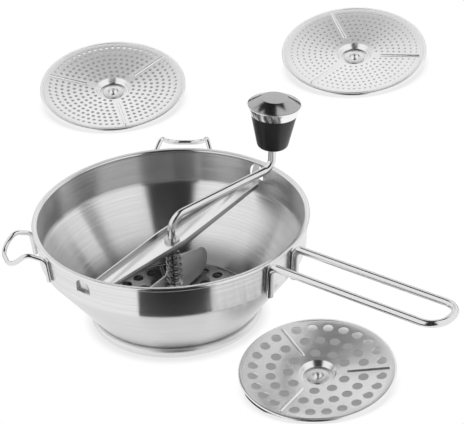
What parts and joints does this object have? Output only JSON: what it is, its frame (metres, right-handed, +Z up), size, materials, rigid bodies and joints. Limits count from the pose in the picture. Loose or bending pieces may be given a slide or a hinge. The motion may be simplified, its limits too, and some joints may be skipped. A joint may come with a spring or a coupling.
{
  "type": "food mill",
  "caption": "Hand-cranked food mill: conical steel bowl with wire handle and pan hooks, sprung scraper blade over a pierced sieve, knobbed crank, spare sieves beside it.",
  "frame": {"origin": "centre of the foot ring's standing face, on the table", "axes": "+X along the long handle, +Z up along the crank shaft"},
  "size_m": [0.6501, 0.6388, 0.1805],
  "materials": {
    "bowl_steel": "satin, brushed round the bowl",
    "wire_steel": "polished wire",
    "sheet_steel": "bright rolled sheet, pierced",
    "hub_steel": "polished",
    "bridge_steel": "bright pressed sheet",
    "blade_steel": "satin sheet with bright edges",
    "turned_steel": "turned",
    "spring_steel": "drawn wire",
    "grip_plastic": "black satin moulding",
    "bearing_plastic": "plain",
    "cap_chrome": "mirror"
  },
  "bodies": {
    "bowl": {"bowl_shell": "bowl_steel", "foot_ring": "bowl_steel", "long_handle": "wire_steel", "rear_hook": "wire_steel", "left_hook": "wire_steel", "fitted_disc": "sheet_steel", "fitted_disc_hub": "hub_steel"},
    "bridge": {"bridge": "bridge_steel", "bridge_bushing": "turned_steel", "spring_top_washer": "turned_steel"},
    "lift": {"pressure_spring": "spring_steel", "spring_seat_washer": "turned_steel"},
    "crank": {"crank_rod": "wire_steel", "scraper_blade": "blade_steel", "blade_hub": "turned_steel", "blade_pin": "turned_steel", "shaft_pilot": "turned_steel", "knob_stop_ring": "turned_steel", "knob_retainer": "turned_steel"},
    "knob": {"knob_grip": "grip_plastic", "knob_sleeve": "bearing_plastic", "knob_ferrule": "cap_chrome", "knob_crown": "cap_chrome"},
    "medium_sieve": {"medium_disc": "sheet_steel", "medium_disc_hub": "hub_steel"},
    "fine_sieve": {"fine_disc": "sheet_steel", "fine_disc_hub": "hub_steel"},
    "coarse_sieve": {"coarse_disc": "sheet_steel", "coarse_disc_hub": "hub_steel"}
  },
  "joints": [
    {"name": "bridge_turn", "type": "hinge", "parent": "bowl", "child": "bridge", "pos_m": [0, 0, 0.0765], "axis": [0, 0, 1], "range_deg": [0, 25]},
    {"name": "shaft_lift", "type": "slide", "parent": "bridge", "child": "lift", "axis": [0, 0, 1], "range_m": [0, 0.006], "stiffness_N_per_m": 1500, "springref_m": -0.015, "deforming": ["pressure_spring"]},
    {"name": "crank_turn", "type": "hinge", "parent": "lift", "child": "crank", "pos_m": [0, 0, 0.05], "axis": [0, 0, 1], "continuous": true},
    {"name": "knob_spin", "type": "hinge", "parent": "crank", "child": "knob", "pos_m": [0.03782, 0.09602, 0.112], "axis": [0.0383, 0.0973, 0.9945], "continuous": true},
    {"name": "medium_sieve_slide", "type": "slide", "parent": "bowl", "child": "medium_sieve", "axis": [-0.7193, 0.6947, 0], "range_m": [0, 0.1]},
    {"name": "fine_sieve_slide", "type": "slide", "parent": "bowl", "child": "fine_sieve", "axis": [-0.2857, 0.9583, 0], "range_m": [0, 0.1]},
    {"name": "coarse_sieve_slide", "type": "slide", "parent": "bowl", "child": "coarse_sieve", "axis": [0.9912, -0.1323, 0], "range_m": [0, 0.1]}
  ]
}
